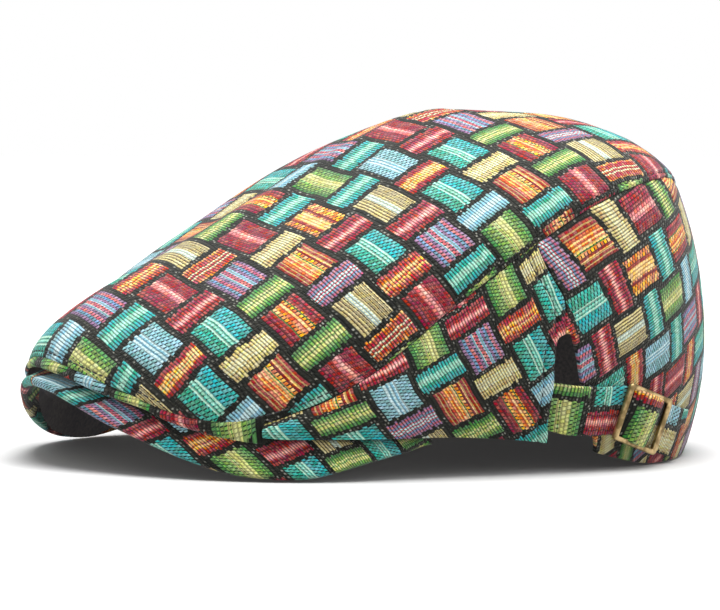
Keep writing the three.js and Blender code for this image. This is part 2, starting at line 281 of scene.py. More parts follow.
def cloth_shell(name, outer, inner, weave, ring=False, pole=False):
    """Cloth between an outer and an inner grid of rows and columns, a ring round or closed at a pole."""
    rows, cols = outer.shape[:2]
    layer_size = rows * cols - (cols - 1 if pole else 0)

    def number(i, j, layer):
        j = j % cols
        k = np.where(i == 0, 0, 1 + (i - 1) * cols + j) if pole else i * cols + j
        return k + layer * layer_size

    def in_line(grid):
        if pole:
            return np.concatenate([grid[0, :1], grid[1:].reshape(-1, grid.shape[-1])])
        return grid.reshape(-1, grid.shape[-1])

    faces = []
    wrong_side = []

    def add(corners, layer=0):
        for face in np.stack(corners, -1).tolist():
            faces.append(face)
            wrong_side.append(layer)

    spans = cols if ring else cols - 1
    i, j = np.meshgrid(np.arange(1 if pole else 0, rows - 1), np.arange(spans), indexing="ij")
    i, j = i.ravel(), j.ravel()
    for layer in (0, 1):
        places = ((i, j), (i + 1, j), (i + 1, j + 1), (i, j + 1))
        face = [number(row, col, layer) for row, col in places]
        add(face[::-1] if layer else face, layer)
    k = np.arange(spans)
    first = k * 0
    last = first + rows - 1
    if pole:
        for layer in (0, 1):
            face = [number(first, k, layer), number(first + 1, k, layer), number(first + 1, k + 1, layer)]
            add(face[::-1] if layer else face, layer)
    add([number(last, k, 0), number(last, k, 1), number(last, k + 1, 1), number(last, k + 1, 0)])
    if not pole:
        add([number(first, k, 0), number(first, k + 1, 0), number(first, k + 1, 1), number(first, k, 1)])
    if not ring:
        k = np.arange(rows - 1)
        first = k * 0
        last = first + cols - 1
        add([number(k, first, 0), number(k, first, 1), number(k + 1, first, 1), number(k + 1, first, 0)])
        add([number(k, last, 0), number(k + 1, last, 0), number(k + 1, last, 1), number(k, last, 1)])
    points = np.concatenate([in_line(outer), in_line(inner)])
    weave = np.concatenate([in_line(weave), in_line(weave)])
    return new_piece(name, points, faces, wrong_side, weave)


def folded_shell(name, section, weave, on_wrong_side):
    """Closed piece from a section, one column each, that runs out over a rim and back below it."""
    rows, cols = section.shape[:2]
    faces = []
    wrong_side = []
    for i in range(rows):
        after = (i + 1) % rows
        for k in range(cols - 1):
            faces.append([i * cols + k, after * cols + k, after * cols + k + 1, i * cols + k + 1])
            wrong_side.append(int(after == 0 or on_wrong_side[i, k]))
    half = rows // 2
    for k in (0, cols - 1):
        ring = [i * cols + k for i in range(rows)]
        ends = [[ring[i], ring[i + 1], ring[rows - 2 - i], ring[rows - 1 - i]] for i in range(half - 1)]
        if rows % 2:
            ends.append([ring[half - 1], ring[half], ring[half + 1]])
        for face in ends:
            faces.append(face if k else face[::-1])
            wrong_side.append(0)
    return new_piece(name, section.reshape(-1, 3), faces, wrong_side, weave.reshape(-1, 2))


def apply_modifiers(piece):
    """Applies every modifier of a piece, in their order."""
    bpy.ops.object.select_all(action="DESELECT")
    bpy.context.view_layer.objects.active = piece
    piece.select_set(True)
    for modifier in list(piece.modifiers):
        bpy.ops.object.modifier_apply(modifier=modifier.name)
    piece.select_set(False)


def round_edges(piece, width, segments, angle):
    """Rounds every edge that is sharper than the angle."""
    rounding = piece.modifiers.new("rounded_edge", "BEVEL")
    rounding.width = width * MM
    rounding.segments = segments
    rounding.limit_method = "ANGLE"
    rounding.angle_limit = math.radians(angle)
    apply_modifiers(piece)


def finish_cloth(piece, rounded=None):
    """The cloth's two sides, its rounded edges where it has them, and smooth shading."""
    piece.data.materials.append(WEAVE)
    piece.data.materials.append(WRONG_SIDE)
    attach(piece, "root")
    if rounded:
        round_edges(piece, rounded, segments=3, angle=50)
    for polygon in piece.data.polygons:
        polygon.use_smooth = True
    return piece


# Shader nodes
class Number:
    """One number in a material, so that sums with it are written as sums."""

    def __init__(self, nodes, socket):
        self.nodes = nodes
        self.socket = socket

    def __add__(self, other):
        return self.nodes.math("ADD", self, other)

    def __sub__(self, other):
        return self.nodes.math("SUBTRACT", self, other)

    def __rsub__(self, other):
        return self.nodes.math("SUBTRACT", other, self)

    def __mul__(self, other):
        return self.nodes.math("MULTIPLY", self, other)

    def __truediv__(self, other):
        return self.nodes.math("DIVIDE", self, other)

    def __mod__(self, other):
        return self.nodes.math("FLOORED_MODULO", self, other)

    def __abs__(self):
        return self.nodes.math("ABSOLUTE", self)


class Nodes:
    """Adds shader nodes to one material."""

    def __init__(self, name):
        self.material = bpy.data.materials.new(name)
        self.material.use_nodes = True
        self.tree = self.material.node_tree
        self.tree.nodes.clear()

    def add(self, kind, inputs=(), **settings):
        node = self.tree.nodes.new(kind)
        for key, value in settings.items():
            setattr(node, key, value)
        for key, value in dict(inputs).items():
            self.plug(value, node.inputs[key])
        return node

    def plug(self, value, socket):
        value = value.socket if isinstance(value, Number) else value
        if isinstance(value, bpy.types.NodeSocket):
            self.tree.links.new(value, socket)
        else:
            socket.default_value = value

    def math(self, operation, *values, clamp=False):
        node = self.add("ShaderNodeMath", enumerate(values), operation=operation, use_clamp=clamp)
        return Number(self, node.outputs[0])

    def mix(self, share, first, second):
        """A colour between two."""
        inputs = {0: share, 6: first, 7: second}
        return self.add("ShaderNodeMix", inputs, data_type="RGBA", clamp_factor=True).outputs[2]

    def blend(self, share, first, second):
        """A number between two."""
        inputs = {0: share, 2: first, 3: second}
        node = self.add("ShaderNodeMix", inputs, data_type="FLOAT", clamp_factor=True)
        return Number(self, node.outputs[0])

    def step(self, value, start, end, low=0.0, high=1.0):
        """Low up to start and high from end, smoothly between."""
        inputs = enumerate((value, start, end, low, high))
        node = self.add("ShaderNodeMapRange", inputs, interpolation_type="SMOOTHSTEP")
        return Number(self, node.outputs[0])

    def ramp(self, value, colours):
        """One flat colour and one opacity for each equal part of the way from 0 to 1."""
        node = self.add("ShaderNodeValToRGB", {0: value})
        node.color_ramp.interpolation = "CONSTANT"
        stops = node.color_ramp.elements
        while len(stops) < len(colours):
            stops.new(1.0)
        for k, colour in enumerate(colours):
            stops[k].position = k / len(colours)
            stops[k].color = colour
        return node.outputs[0], Number(self, node.outputs[1])

    def noise(self, place, scale, detail, dimensions="3D"):
        inputs = {"Vector": place, "Scale": scale, "Detail": detail}
        return self.add("ShaderNodeTexNoise", inputs, noise_dimensions=dimensions)

    def parts(self, colour):
        """The red and the green of a colour, as numbers."""
        node = self.add("ShaderNodeSeparateColor", {0: colour})
        return Number(self, node.outputs[0]), Number(self, node.outputs[1])

    def chance(self, x, y):
        """A number from 0 to 1 that is fixed for each pair of whole numbers."""
        pair = self.add("ShaderNodeCombineXYZ", {0: x, 1: y})
        node = self.add("ShaderNodeTexWhiteNoise", {"Vector": pair.outputs[0]}, noise_dimensions="2D")
        return Number(self, node.outputs[0])

    def bump(self, height, strength, distance):
        inputs = {"Height": height, "Strength": strength, "Distance": distance}
        return self.add("ShaderNodeBump", inputs).outputs[0]

    def surface(self, **sockets):
        """Finishes the material with one Principled shader."""
        inputs = {key.replace("_", " "): value for key, value in sockets.items()}
        shader = self.add("ShaderNodeBsdfPrincipled", inputs)
        self.add("ShaderNodeOutputMaterial", {0: shader.outputs[0]})
        return self.material


def rgb(red, green, blue):
    """A colour as a screen shows it, 0 to 255, as the linear colour a shader takes."""
    parts = [c / 255 for c in (red, green, blue)]
    return tuple(c / 12.92 if c <= 0.04045 else ((c + 0.055) / 1.055) ** 2.4 for c in parts) + (1.0,)


# Yarns: colour on screen, and how much black shows between the floats of that yarn
YARNS = {
    "a": (52, 162, 160, 0.8),
    "b": (58, 162, 140, 0.8),
    "m": (136, 200, 176, 0.35),
    "n": (156, 200, 178, 0.1),
    "l": (126, 174, 182, 0.85),
    "w": (172, 200, 202, 0.25),
    "x": (122, 176, 196, 0.3),
    "v": (138, 106, 140, 0.9),
    "u": (94, 136, 164, 0.9),
    "k": (184, 92, 106, 0.8),
    "r": (158, 30, 46, 0.55),
    "d": (100, 16, 30, 0.35),
    "p": (206, 98, 100, 0.5),
    "P": (232, 156, 144, 0.5),
    "y": (200, 186, 130, 0.15),
    "Y": (190, 170, 100, 0.95),
    "O": (104, 84, 40, 0.75),
    "W": (204, 204, 160, 0.3),
    "g": (72, 128, 62, 0.65),
    "G": (124, 160, 80, 0.7),
    "L": (198, 198, 120, 0.35),
    "t": (220, 142, 54, 0.8),
    "o": (214, 98, 46, 0.4),
    "c": (232, 184, 104, 0.25),
    "q": (196, 68, 38, 0.95),
    "R": (142, 36, 28, 0.3),
}

# Stripes of each kind of block, one yarn after another: of its wide blocks, and of its slim bars
STRIPES = {
    "T": ("bbbbbbbbbbbnnbmmbnnaaaaaaaaaaaaa", "aabbmmnmmbbaaa"),
    "L": ("llllllllllwwxxwwxxwwllllllllllll", "llxxwwwwxxll"),
    "V": ("vvvuuukkkvvvxwkkkkxwxvvvuuukkkvv", "vkvukwkwkuvkv"),
    "C": ("yyOyyOyyOyyOWwWwWwWyyOyyOyyOyyOy", "YyYWyWyWYyYYy"),
    "G": ("ggggGgGGGGGGLLGLLLLLLLGGGGGgGggg", "ggGGLGLLGGgg"),
    "O": ("RRcRRcRoocoococcgtttRRccRRcRR", "RqRqtctqctqRqR"),
    "R": ("rrrddrrRRgttttoooccottgtRRrrddrr", "rRrtctLtctrRr"),
    "S": ("ttttttRRRtcccccccccctRRRtttttttt", "tqRqRWqRWqRqqt"),
    "K": ("rrdrrdrrdrrdrpppPPPppdrrdrrdrrdr", "rrdrrpPPprdrr"),
}
KINDS = "".join(STRIPES)

# One repeat of the weave, ten blocks by six, and below it the blocks of the trims
CHART = [
    "KVCRTSKTOK",
    "GOTLGTCKVT",
    "CTKVTLRTLG",
    "OGTOKKTCOT",
    "KLVCSVGRGK",
    "GTOGKCOVCS",
    "COKTRLTVKT",
    "GKGRKTGCLO",
    "KTCLTVGOCV",
    "CGOTGKTRGO",
    "VTCKLKOCTL",
    "OGGGCVGKOT",
]
CHART_COLUMNS = 10
CHART_ROWS = 6
CHART_START = 7
TRIMS = 600

# Threads across one block step, of the wide blocks and of the slim bars, and floats along one
THREADS = 13
SLIM_THREADS = 16
FLOATS = 9

# In block steps: half sizes along and across, where wide gives way to slim, and unevenness
WIDE = (0.545, 0.375)
SLIM = (0.31, 0.485)
WIDE_REACH = 0.57
DRIFT = 0.1
WANDER = (0.02, 0.015)
STRAY = 0.05
RAGGED = (0.06, 0.05)

# Scales of the noise that moves blocks, moves threads and shades fibres, and its share of shade
DRIFT_SCALE = 0.9
WANDER_SCALE = 11.0
FIBRE_SCALE = 30.0
FIBRE_SHADE = 1.1


def chart_kind(n, column, row):
    """Number of the kind of block in the chart, a tenth for each kind."""
    across = ((column + CHART_START) % CHART_COLUMNS + 0.5) / CHART_COLUMNS
    down = row % CHART_ROWS + n.math("GREATER_THAN", row, TRIMS / 2) * CHART_ROWS
    kind = 0.0
    for k, line in enumerate(CHART):
        levels = [(KINDS.index(letter) + 1) / 10 for letter in line]
        level = n.parts(n.ramp(across, [(grey, grey, grey, 1.0) for grey in levels])[0])[0]
        kind = level * n.math("COMPARE", down, float(k), 0.4) + kind
    return kind


def stripe_colours(n, kind, wide, wide_at, slim_at):
    """Colour of the yarn at this place of the block, and how much black shows between its floats."""
    colour = rgb(30, 30, 28)
    gap_depth = 0.0
    for k, letter in enumerate(KINDS):
        here = n.math("COMPARE", kind, (k + 1) / 10, 0.04)
        for stripes, shape, at in zip(STRIPES[letter], (1.0, 0.0), (wide_at, slim_at)):
            this = here * n.math("COMPARE", wide, shape, 0.4)
            yarns = [rgb(*YARNS[yarn][:3])[:3] + YARNS[yarn][3:] for yarn in stripes]
            inside = n.math("MINIMUM", n.math("MAXIMUM", at, 0.001), 0.999)
            shown, depth = n.ramp(inside, yarns)
            colour = n.mix(this, colour, shown)
            gap_depth = this * depth + gap_depth
    return colour, gap_depth


def woven_cloth():
    """Basket weave: p and q count blocks along and across, and a wide block meets a slim bar."""
    n = Nodes("basket_weave")
    place = n.add("ShaderNodeUVMap", uv_map="weave").outputs[0]
    drift = n.parts(n.noise(place, DRIFT_SCALE, 1.0, "2D").outputs["Color"])
    wander = n.parts(n.noise(place, WANDER_SCALE, 1.0, "2D").outputs["Color"])
    blocks = n.add("ShaderNodeSeparateXYZ", {0: place}).outputs
    p = Number(n, blocks[0]) + (drift[0] - 0.5) * DRIFT + (wander[0] - 0.5) * WANDER[0]
    q = Number(n, blocks[1]) + (drift[1] - 0.5) * DRIFT + (wander[1] - 0.5) * WANDER[1]

    # Which block this is, and how far from its middle
    row = n.math("ROUND", q)
    from_row = q - row
    phase = (p + row + 1.0) % 2.0 - 1.0
    wide = n.math("LESS_THAN", abs(phase), WIDE_REACH)
    from_block = phase - (1.0 - wide) * n.math("SIGN", phase)
    column = n.math("ROUND", p - from_block)

    # Threads: rows of short floats, like bricks in the wide blocks and side by side in the slim bars
    rise = q * n.blend(wide, SLIM_THREADS, THREADS)
    thread = n.math("FLOOR", rise)
    lean = rise - thread - 0.5
    across_thread = abs(lean)
    brick = thread % 2.0 * 0.5
    run = p * FLOATS + (brick - lean * 0.3) * wide
    dash = n.math("FLOOR", run)
    along_thread = abs(run - dash - 0.5)
    luck = n.chance(dash, thread)
    other_luck = n.chance(thread, dash + 77.0)
    thread_luck = n.chance(thread, column + 40.0)

    # Stripes
    kind = chart_kind(n, column, row)
    wide_at = from_row * (1 / (2 * WIDE[1])) + 0.5
    slim_at = (from_block + (thread_luck - 0.5) * STRAY) * (1 / (2 * SLIM[0])) + 0.5
    colour, gap_depth = stripe_colours(n, kind, wide, wide_at, slim_at)

    # Edges of the block, a little ragged at the ends of the threads
    ragged = (thread_luck - 0.5) * RAGGED[0] + (brick - 0.25) * RAGGED[1]
    reach_p = abs(from_block) / (n.blend(wide, SLIM[0], WIDE[0]) + ragged)
    reach_q = abs(from_row) / n.blend(wide, SLIM[1], WIDE[1])
    reach = n.math("MAXIMUM", reach_p, reach_q)
    block = 1.0 - n.step(reach, 0.975, 1.025)

    # Each float has its own shade
    fibre = Number(n, n.noise(place, FIBRE_SCALE, 2.0, "2D").outputs[0])
    contrast = n.blend(wide, 0.3, gap_depth * 0.5 + 0.16)
    shade = (luck - 0.5) * contrast + (fibre - 0.5) * FIBRE_SHADE
    tint = n.add("ShaderNodeHueSaturation", {
        "Hue": (luck - 0.5) * gap_depth * 0.08 + 0.5,
        "Saturation": other_luck * 0.3 + 0.8,
        "Value": shade + 0.96,
        "Color": colour,
    })

    # Black ground where the floats dive under, and darker between the threads: partly black ground, partly
    # painted shade of the round threads
    end_gap = n.step(along_thread, n.blend(wide, 0.32, 0.27), n.blend(wide, 0.48, 0.4))
    in_row = n.blend(wide, 1.0, 1.0 - n.step(across_thread, 0.3, 0.5))
    deep = n.math("MULTIPLY", gap_depth, n.blend(wide, 0.35, 1.35), clamp=True)
    dive = end_gap * in_row * deep
    row_gap_shade = n.step(across_thread, n.blend(wide, 0.14, 0.16), 0.44)
    # Painted shade between the thread rows, with some black ground showing there
    painted_row_shade = n.blend(wide, row_gap_shade * (gap_depth * 0.3 + 0.62), row_gap_shade * (0.68 - gap_depth * 0.5))
    lit = (1.0 - dive) * (1.0 - painted_row_shade)
    shaded = n.mix(lit, rgb(18, 26, 28), tint.outputs[0])

    # Black ground with rows of grey specks
    speck = (1.0 - n.step(along_thread, 0.08, 0.34)) * (1.0 - n.step(across_thread, 0.08, 0.34))
    glint = n.math("GREATER_THAN", luck, 0.45) * speck * n.math("POWER", other_luck, 2.0) * 0.62
    threads = n.mix(thread_luck, rgb(18, 21, 16), rgb(38, 38, 32))
    # The ground is darker between its thread rows: painted shade of the round threads
    ground = n.mix(glint, n.mix(row_gap_shade * 0.6, threads, rgb(10, 10, 11)), rgb(178, 178, 166))

    # Relief
    puff = 1.0 - n.step(reach, 0.78, 1.04)
    floats = (1.0 - across_thread * across_thread * 4.0) * (1.0 - dive) * 0.45
    return n.surface(
        Base_Color=n.mix(block, ground, shaded),
        Roughness=n.blend(block, 0.92, 0.8),
        Normal=n.bump(puff + floats, 0.8, 0.0006),
        Specular_IOR_Level=0.15,
        Sheen_Weight=0.15,
        Sheen_Roughness=0.45,
    )


def dark_lining():
    """Dark wrong side of the cloth. Its faint glow stands in for light that comes through the cloth."""
    n = Nodes("cloth_wrong_side")
    place = n.add("ShaderNodeTexCoord").outputs["Object"]
    # Upright lighter and darker bands are painted shade of folds in the lining; they set how strong the
    # grain is in its colour, glow and bump
    upright = n.add("ShaderNodeMapping", {"Vector": place, "Scale": (1.0, 1.0, 0.12)}).outputs[0]
    painted_fold_shade = n.step(n.noise(upright, 70.0, 1.0).outputs[0], 0.25, 0.75)
    grain = Number(n, n.noise(place, 900.0, 3.0).outputs[0]) * (painted_fold_shade * 0.35 + 0.6)
    return n.surface(
        Base_Color=n.mix(grain, rgb(26, 26, 38), rgb(96, 90, 88)),
        Roughness=0.9,
        Normal=n.bump(grain, 0.4, 0.0003),
        Emission_Color=n.mix(grain, rgb(110, 110, 130), rgb(250, 240, 225)),
        Emission_Strength=0.034,
    )


def antique_brass():
    """Brass that is lighter where it is worn."""
    n = Nodes("antique_brass")
    place = n.add("ShaderNodeTexCoord").outputs["Object"]
    noise = n.noise(place, 260.0, 5.0).outputs[0]
    worn = n.step(noise, 0.38, 0.7)
    return n.surface(
        Base_Color=n.mix(worn, rgb(118, 99, 64), rgb(198, 172, 124)),
        Metallic=1.0,
        Roughness=n.blend(worn, 0.5, 0.34),
        Normal=n.bump(noise, 0.15, 0.0002),
    )


def black_thread():
    """Thread with a fine twist."""
    n = Nodes("black_thread")
    place = n.add("ShaderNodeTexCoord").outputs["Object"]
    inputs = {"Vector": place, "Scale": 900.0}
    twist = n.add("ShaderNodeTexWave", inputs, wave_type="BANDS", bands_direction="DIAGONAL")
    colour = n.mix(twist.outputs["Fac"], rgb(16, 16, 18), rgb(46, 46, 48))
    return n.surface(Base_Color=colour, Roughness=0.7)


WEAVE = woven_cloth()
WRONG_SIDE = dark_lining()
BRASS = antique_brass()
THREAD = black_thread()


# How the weave lies on each panel: block numbers p and q from distances x and y in units of 100 mm
def weave_on_top(rho, a):
    x = rho * np.sin(np.radians(a)) / 100
    y = -rho * np.cos(np.radians(a)) / 100
    s = x * (1 + 0.48 * y + 0.28 * y * y + 0.19 * x * x)
    t = y - 0.23 * x * x - 0.1 * y * y - 0.12 * x * x * y - 0.04 * y**3
    return np.stack([-3.33 + 5 * s + 0.65 * t, 4.47 + 0.14 * s + 5.14 * t], -1)


def wall_run(a, v):
    """Distance round the wall from the left seam, and height on it."""
    line = np.linspace(0, 360, 1441)
    middle = wall_point(line, np.full(line.shape, 0.5))
    run = run_along(middle, 0)
    run -= np.interp(LEFT_SEAM, line, run)
    level = middle[:, 2] - np.interp(LEFT_SEAM, line, middle[:, 2])
    depth = run_along(wall_point(*np.meshgrid(line, np.linspace(0, 1, 51), indexing="ij")), 1)
    half = np.interp(a, line, depth[:, 25])
    full = np.interp(a, line, depth[:, 50])
    down = np.where(v < 0.5, v / 0.5 * half, half + (v - 0.5) / 0.5 * (full - half))
    x = np.interp(a, line, run)
    y = np.interp(a, line, level) - (down - half)
    return x / 100, y / 100


def weave_on_side(a, v):
    x, y = wall_run(np.abs(a), v)
    p = -5.13 + 4.14 * x - 6.3 * y + 4.4 * x * y - 1.41 * y * y
    q = 1.19 + 5.3 * x + 3.23 * y + 0.57 * x * x + 1.57 * x * y - 1.87 * y * y
    return np.stack([p, q], -1)


def weave_on_right_side(a, v):
    """The left side's weave mirrored, from another place in the cloth."""
    p, q = np.moveaxis(weave_on_side(a, v), -1, 0)
    return np.stack([5.0 - p, q + 2.0], -1)


def weave_on_back(a, v):
    x, y = wall_run(a, v)
    near = x / (1 + (np.abs(x) / 1.1) ** 4) ** 0.25
    p = 1.83 - 6.6 * x - near * near - 4.32 * y + 5.41 * near * y - 2 * y * y
    q = 0.02 + 2.97 * x - 4.76 * y - 2.83 * near * y + 1.3 * y * y
    return np.stack([p, q], -1)


def weave_on_peak(x, y):
    """From distances along the rim, to the left of its middle, and outwards over it."""
    near, out = np.abs(x) / 100, y / 100
    p = -3 + 7.2 * near + 6.6 * out - 1.7 * near * near
    q = 0.27 - 0.94 * near - 6.1 * out + 2.63 * near * near
    return np.stack([np.where(x < 0, -6 - p, p), q + TRIMS], -1)


# Block steps on the trims in p and in q, in millimetres, and a block of the strap's and its place
TRIM_BLOCK = (13.6, 17.7)
TAB_BLOCK = (13.4, 17.5)
STRAP_BLOCK = (5, 5)
STRAP_BLOCK_AT = (-4, -38)


# Top panel, with its folded edge in front set back from the seam line of the CAD
FOLD = {"a": [0, 11, 16, 20, 24, 28, 33, 40], "back": [4.2, 4.2, 3.8, 2.8, 2, 0.9, 0, 0]}
FOLD_LIFT = 0.3
STITCH_IN = 2.0
TOP_ANGLES = np.linspace(-180, 180, 289)[:-1]
TOP_UNEVEN = 0.55
FRONT_END = (33, 12)

# Height and width of the top panel's stitched groove, tucked edge and puckers, and its rear's swell
TOP_GROOVE = (0.5, 0.55)
TOP_TUCK = (0.4, 0.6)
TOP_PUCKER = (0.45, 3.0)
CROWN_SWELL = (1.7, 24)
CROWN_SWELL_AT = 76


def fold_back(a):
    """How far the top panel's folded edge lies back from the seam line of the CAD."""
    return read(FOLD, "a", "back", side_angle(a))


def in_front(a):
    """1 over the front of the cap, 0 from its sides on."""
    return 1 - rising(side_angle(a), *FRONT_END)


def top_share(a, back):
    """Share f of the top panel that lies a distance back from its seam line."""
    line = np.concatenate([np.linspace(0, 0.8, 40), 1 - 0.2 * (1 - np.linspace(0, 1, 90)[1:]) ** 2])
    found = np.empty(np.shape(a))
    for k, (angle, distance) in enumerate(zip(a, back)):
        run = run_along(top_point(np.full(line.shape, angle), line), 0)
        found[k] = np.interp(run[-1] - distance, run, line)
    return found


def make_top():
    """Top panel from its pole at the apex out to its folded edge."""
    rows = np.concatenate([np.linspace(0, 0.88, 52), 1 - 0.12 * (1 - np.linspace(0, 1, 34)[1:]) ** 1.6])
    row, a = np.meshgrid(rows, TOP_ANGLES, indexing="ij")
    f = row * top_share(TOP_ANGLES, fold_back(TOP_ANGLES))[None, :]
    surface = top_point(a, f)
    normal = normals(top_point, a, f)
    rho = run_along(surface, 0)
    edge = rho[-1] - rho
    pressed = hump(edge - STITCH_IN, *TOP_GROOVE) + hump(edge, *TOP_TUCK)
    pucker = hump(edge - 1.5, *TOP_PUCKER) * waves(a * TOP_DEGREE, edge * 0.3, size=10, seed=4)
    soft = TOP_UNEVEN * waves(surface[..., 0], surface[..., 1], size=55, seed=1) * rising(edge, 0, 25)
    swell = hump(surface[..., 1] - CROWN_SWELL_AT, *CROWN_SWELL) * rising(edge, 0, 22)
    front = in_front(a)
    outer = surface + normal * (pucker + soft + swell + FOLD_LIFT * front - pressed)[..., None]
    outer[0] = outer[0].mean(0)
    inward = normal.copy()
    inward[..., 2] *= 1 - rising(f, 0.9, 0.08)
    thick = CLOTH - (1 - rising(edge, 2, 4)) * front
    inner = outer - unit(inward) * thick[..., None]
    inner[0] = outer[0] - np.array([0, 0, CLOTH])
    return cloth_shell("top_cloth", outer, inner, weave_on_top(rho, a), ring=True, pole=True)


# Narrow front end of the side panels, between the folded edge of the top panel and the peak
BAND = {
    "a": [0, 12, 17, 20, 24, 28, 33, 36, 39],
    "below": [0, 0, 0, 0.12, 0.5, 0.55, 0.5, 0.5, 0.45],
}
BAND_END = 39.0
BAND_THICK = 0.9
BAND_UNEVEN = 0.25

# How far and how deep it laps under the top panel, and the share of the peak that it reaches over
BAND_LAP = (1.4, 1.1)
BAND_REACH = 0.16

# Height and width of the turn at its lower edge, and how its ends sink: from where, over and by what
BAND_TURNED = (0.3, 0.15)
BAND_TUCKED = (35.5, 1.3)
BAND_TUCK = 2.4

# How far along its blocks run, how high before and at that end, and where its blocks lie. Past the blocks
# the band shows black, as painted shade where it shows under the top panel's edge
BAND_BLOCKS_TO = 96.6
BAND_BLOCKS_HIGH = (7.5, 4.4)
BAND_BLOCK_AT = (87, 3.4)
BAND_BLOCK_STEP = 19.3


def weave_on_band(run, depth):
    """Blocks counted from the band's ends, with the weave's black ground past the last one, there as
    painted shade under the top panel's edge.
    """
    step = (BAND_BLOCK_AT[0] - np.minimum(np.abs(run), BAND_BLOCKS_TO)) / BAND_BLOCK_STEP
    blocks_high = np.interp(np.abs(run), [BAND_BLOCKS_TO - 4, BAND_BLOCKS_TO], BAND_BLOCKS_HIGH)
    p = -1 - 0.95 * step + (np.minimum(depth, blocks_high) - BAND_BLOCK_AT[1]) / TRIM_BLOCK[0]
    q = TRIMS + 5 - step + 0 * depth
    return np.stack([p, q], -1)


def make_band():
    """Band that bows from under the top panel's fold down to the seam or onto the peak."""
    a = np.linspace(-BAND_END, BAND_END, 160)
    back = fold_back(a)
    lapped = top_share(a, back + BAND_LAP[0])
    upper = top_point(a, lapped) - normals(top_point, a, lapped) * BAND_LAP[1]
    seam = top_point(a, top_share(a, np.full(a.shape, 0.05))) + outwards(a) * 0.1
    below = read(BAND, "a", "below", side_angle(a))
    reached = PEAK_UNDER + BAND_REACH * below
    on_peak = peak_point(a, reached) + normals(peak_point, a, reached) * 0.5
    ease = rising(below, 0, 0.3)[..., None]
    lower = seam * (1 - ease) + on_peak * ease
    middle = top_point(a, top_share(a, back * 0.5 * (1 - ease[:, 0]) + 0.05))
    middle = middle + outwards(a) * 0.5 + np.array([0, 0, 0.25])
    control = 2 * middle - (upper + lower) / 2
    t = np.linspace(0, 1, 15)[:, None, None]
    surface = (1 - t) ** 2 * upper + 2 * t * (1 - t) * control + t**2 * lower
    normal = unit(np.cross(np.gradient(surface, axis=1), np.gradient(surface, axis=0)))
    normal *= np.sign((normal * (surface - np.array([0, APEX_Y, 0]))).sum(-1, keepdims=True))
    rows = t[..., 0] + 0 * a
    ripple = BAND_UNEVEN * waves(a * TOP_DEGREE, rows * 3, size=14, seed=6)
    end = rising(side_angle(a), *BAND_TUCKED)
    tucked = BAND_TUCK * end * end * (3 - 2 * end)
    outer = surface + normal * (ripple - hump(1 - rows, *BAND_TURNED) - tucked)[..., None]
    inner = outer - normal * BAND_THICK
    run = run_along(seam, 0)
    run = run - run[len(run) // 2]
    return cloth_shell("front_band_cloth", outer, inner, weave_on_band(run, run_along(outer, 0)))


# Topstitching: where each section of a stitch lies along it, and its share of the full radius
STITCH_LENGTH = 2.3
STITCH_GAP = 0.7
STITCH_RADIUS = 0.24
STITCH_LIFT = 0.05
STITCH_DIP = 0.6
STITCH_FLAT = 0.7
STITCH_SIDES = 6
STITCH_SECTIONS = ((-0.5, 0.35), (-0.38, 1), (0, 1.1), (0.38, 1), (0.5, 0.35))


def between(track, run, at):
    """Point of a track at a distance run along it."""
    return np.array([np.interp(at, run, track[:, c]) for c in range(3)])


def one_stitch(line, out, run, middle):
    """Rings of points round a stitch, which is flattened, and sunk at both its ends."""
    side = between(out, run, middle)
    ahead = between(line, run, middle + 0.5) - between(line, run, middle - 0.5)
    across = unit(np.cross(side, ahead))
    points = []
    for at, size in STITCH_SECTIONS:
        place = between(line, run, middle + at * STITCH_LENGTH)
        place = place + side * (STITCH_LIFT - STITCH_DIP * abs(at))
        for angle in np.linspace(0, 2 * math.pi, STITCH_SIDES + 1)[:-1]:
            ring = across * math.cos(angle) + side * STITCH_FLAT * math.sin(angle)
            points.append(place + ring * STITCH_RADIUS * size)
    return points


def stitches(name, line, out):
    """A row of short stitches along a line of points, all in one mesh."""
    run = run_along(line, 0)
    count = int(run[-1] // (STITCH_LENGTH + STITCH_GAP))
    sides = range(STITCH_SIDES)
    last_ring = (len(STITCH_SECTIONS) - 1) * STITCH_SIDES
    points = []
    faces = []
    for middle in (np.arange(count) + 0.5) * run[-1] / count:
        base = len(points)
        points.extend(one_stitch(line, out, run, middle))
        for first in range(base, base + last_ring, STITCH_SIDES):
            over = first + STITCH_SIDES
            for edge in sides:
                after = (edge + 1) % STITCH_SIDES
                faces.append([first + edge, first + after, over + after, over + edge])
        faces.append([base + edge for edge in sides][::-1])
        faces.append([base + last_ring + edge for edge in sides])
    piece = new_piece(name, points, faces)
    for polygon in piece.data.polygons:
        polygon.use_smooth = True
    piece.data.materials.append(THREAD)
    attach(piece, "root")
    return piece


def make_top_stitches():
    a = np.linspace(-180, 180, 721)
    f = top_share(a, fold_back(a) + STITCH_IN)
    out = normals(top_point, a, f)
    line = top_point(a, f) + out * (FOLD_LIFT * in_front(a) - 0.3)[:, None]
    return stitches("topstitch_top", line, out)


# Walls. The hem hangs lower behind the slit than in the CAD, by angle
DROP = {"a": [0, 90, 100, 112, 125, 138, 150, 180], "by": [0, 0, 1.6, 2.8, 1.4, 0.2, 0, 0]}
DROP_FROM = 0.86

# Height and width of the walls' tucks and puckers, and of the side panels' folded rear edge
SEAM_TUCK = (0.5, 1.5)
HEM_TUCK = (0.3, 2.5)
SEAM_PUCKER = (0.4, 5)
SIDE_GROOVE = (0.8, 0.6)
SIDE_TUCK = (0.5, 0.7)
SIDE_PUCKER = (0.35, 6)
WALL_ROWS = np.unique(np.concatenate([
    np.linspace(0, 0.06, 4),
    np.linspace(0.06, 0.96, 40)[1:],
    [0.98, 1.0],
    np.linspace(0.475, 0.53, 12),
]))
SIDE_START = 35.8
SIDE_SUNK = 0.3
SIDE_THIN = 1.6
SIDE_STITCH_IN = 4.0
SIDE_NEAR = 0.14
WALL_UNEVEN = 0.5
MIRROR = np.array([-1, 1, 1])


